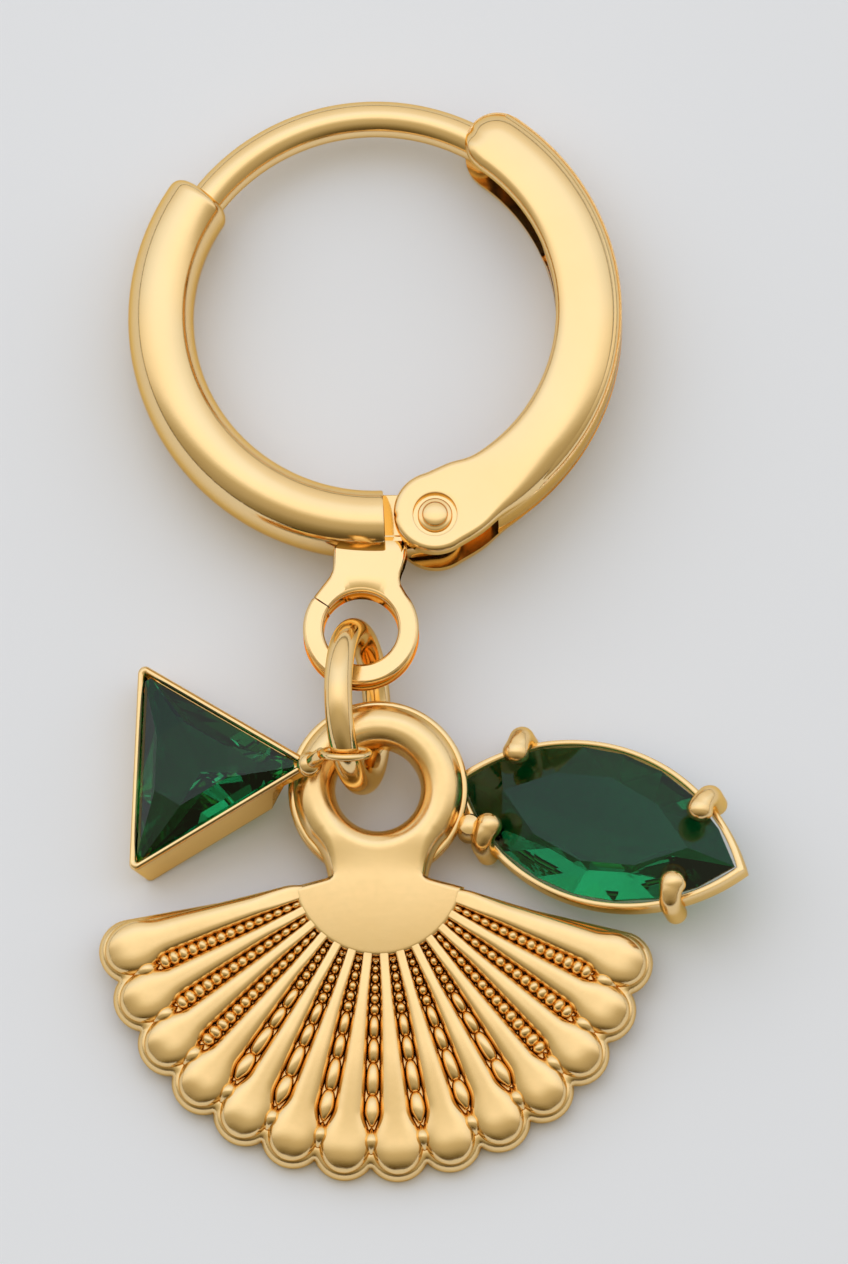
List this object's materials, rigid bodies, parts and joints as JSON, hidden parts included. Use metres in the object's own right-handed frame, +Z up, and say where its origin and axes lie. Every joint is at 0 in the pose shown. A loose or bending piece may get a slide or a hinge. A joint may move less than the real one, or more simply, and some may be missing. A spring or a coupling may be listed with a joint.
{
  "type": "fan drop earring",
  "caption": "Lever hoop earring with a jump ring that carries a cast ribbed fan, a marquise stone and a small triangular stone charm, lying on its back.",
  "frame": {"origin": "on the surface the earring lies on, below the middle of its box", "axes": "+Y from the fan towards the hoop, along the earring; +X to the marquise stone's side; +Z up, towards the fronts of the stones"},
  "size_m": [0.0157, 0.0268, 0.0042],
  "materials": {
    "gold": "polished, gold plated",
    "green_stone": "cut and polished"
  },
  "bodies": {
    "earring": {"hoop_front": "gold", "rivet": "gold", "jump_ring": "gold", "fan_charm": "gold", "marquise_stone": "green_stone", "triangle_setting": "gold", "triangle_stone": "green_stone"},
    "lever": {"lever": "gold"}
  },
  "joints": [
    {"name": "lever_hinge", "type": "hinge", "parent": "earring", "child": "lever", "pos_m": [0.00028, 0.00267, 0.0014], "axis": [0.0122, -0.0401, -0.9991], "range_deg": [0, 60]}
  ]
}
